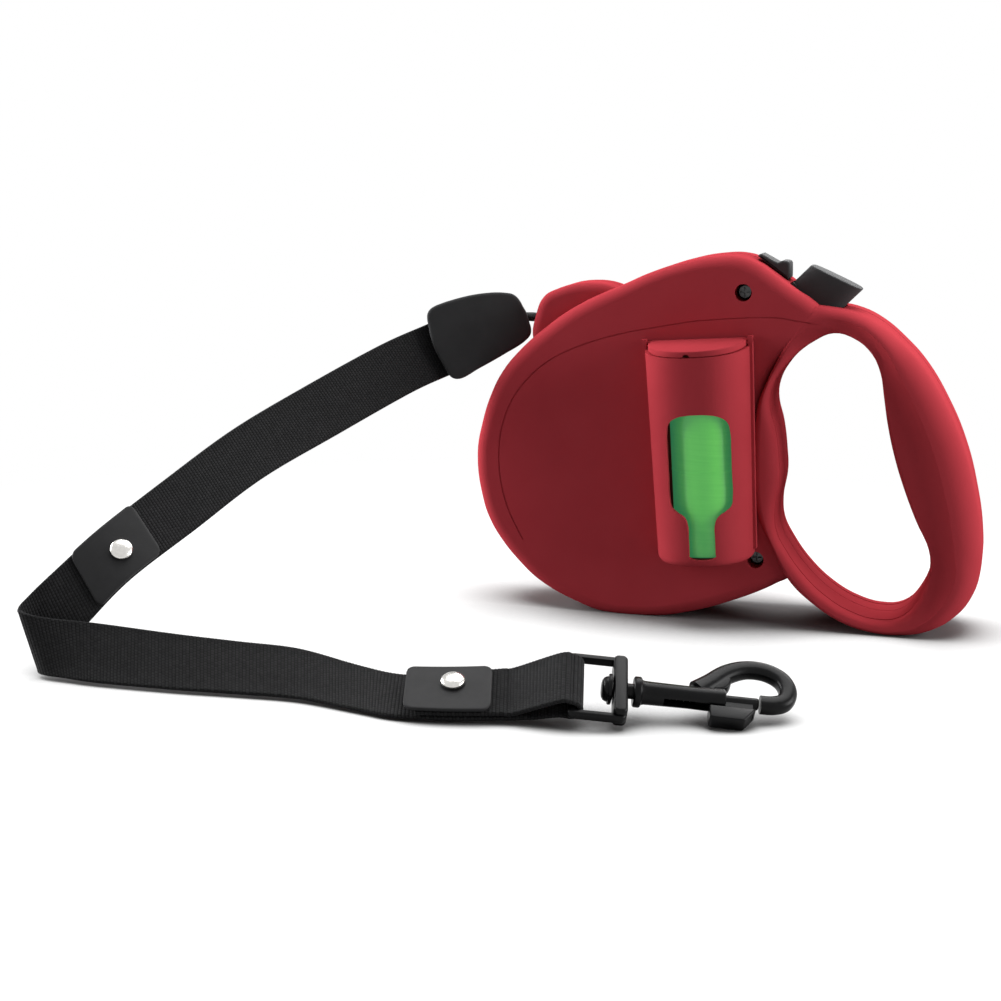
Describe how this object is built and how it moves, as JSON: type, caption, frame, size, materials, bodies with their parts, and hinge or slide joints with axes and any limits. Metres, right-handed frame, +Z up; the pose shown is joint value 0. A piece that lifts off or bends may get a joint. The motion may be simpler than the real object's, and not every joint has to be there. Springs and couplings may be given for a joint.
{
  "type": "retractable dog leash",
  "caption": "Retractable leash: round case with finger-hole handle, sprung reel, thumb brake and lock, bag holder, and strap with swivel snap hook.",
  "frame": {"origin": "on the flat on which the case stands, under the middle of the case thickness", "axes": "+X from the lead to the handle, +Y away from the bag holder, +Z up"},
  "size_m": [0.2613, 0.1665, 0.1173],
  "materials": {
    "red_plastic": "satin moulded red plastic",
    "steel": "plain steel",
    "black_plastic": "plain black plastic",
    "spring_steel": "drawn wire and strip",
    "cord": "braided cord",
    "webbing": "ribbed woven strap",
    "leather": "smooth black leather",
    "nickel": "nickel plate",
    "coated_zinc": "black coating on cast zinc",
    "bag_film": "green film, wound",
    "card": "plain card tube"
  },
  "bodies": {
    "case": {"case_front": "red_plastic", "case_back": "red_plastic", "case_screw_upper": "steel", "case_screw_lower": "steel", "reel_axle": "steel", "nozzle_bush": "black_plastic", "bag_holder": "red_plastic", "brake_spring": "spring_steel"},
    "reel": {"reel": "black_plastic", "reel_flange": "black_plastic", "mainspring": "spring_steel", "cord_core": "cord", "wound_cord": "cord"},
    "lead": {"lead_cord": "cord", "cord_stop": "black_plastic", "strap": "webbing", "patch_upper": "leather", "patch_lower": "leather", "rivet_upper": "nickel", "rivet_upper_back": "nickel", "rivet_lower": "nickel", "rivet_lower_back": "nickel", "swivel_eye": "coated_zinc"},
    "hook": {"hook_body": "coated_zinc", "bolt_spring": "spring_steel"},
    "bolt": {"hook_bolt": "coated_zinc"},
    "brake": {"brake_button": "black_plastic"},
    "lock": {"lock_slider": "black_plastic"},
    "lid": {"bag_lid": "red_plastic"},
    "roll": {"bag_roll": "bag_film", "roll_core": "card"}
  },
  "joints": [
    {"name": "reel_spin", "type": "hinge", "parent": "case", "child": "reel", "pos_m": [-0.0095, 0, 0.0555], "axis": [0, -1, 0], "range_deg": [0, 720], "stiffness_Nm_per_rad": 0.004, "springref_deg": -859.44},
    {"name": "lead_pull", "type": "slide", "parent": "case", "child": "lead", "axis": [-1, 0, 0], "range_m": [0, 0.485]},
    {"name": "hook_swivel", "type": "hinge", "parent": "lead", "child": "hook", "pos_m": [0.0164, -0.129, 0.0084], "axis": [0.9619, 0.258, -0.09], "continuous": true},
    {"name": "bolt_slide", "type": "slide", "parent": "hook", "child": "bolt", "axis": [-0.9619, -0.258, 0.09], "range_m": [0, 0.01], "stiffness_N_per_m": 120, "springref_m": -0.006, "deforming": ["bolt_spring"]},
    {"name": "brake_press", "type": "slide", "parent": "case", "child": "brake", "axis": [-0.695, 0, -0.719], "range_m": [0, 0.004], "stiffness_N_per_m": 350, "springref_m": -0.003, "deforming": ["brake_spring"]},
    {"name": "lock_slide", "type": "slide", "parent": "case", "child": "lock", "axis": [-0.8089, 0, 0.5879], "range_m": [0, 0.0045]},
    {"name": "lid_open", "type": "hinge", "parent": "case", "child": "lid", "pos_m": [0.0164, -0.0177, 0.08989], "axis": [-0.9968, 0, -0.08], "range_deg": [0, 85]},
    {"name": "roll_spin", "type": "hinge", "parent": "case", "child": "roll", "pos_m": [0.0192, -0.02, 0.055], "axis": [-0.08, 0, 0.9968], "continuous": true}
  ],
  "couplings": [
    {"joint": "lead_pull", "follows": "reel_spin", "m_per_rad": 0.0382}
  ]
}
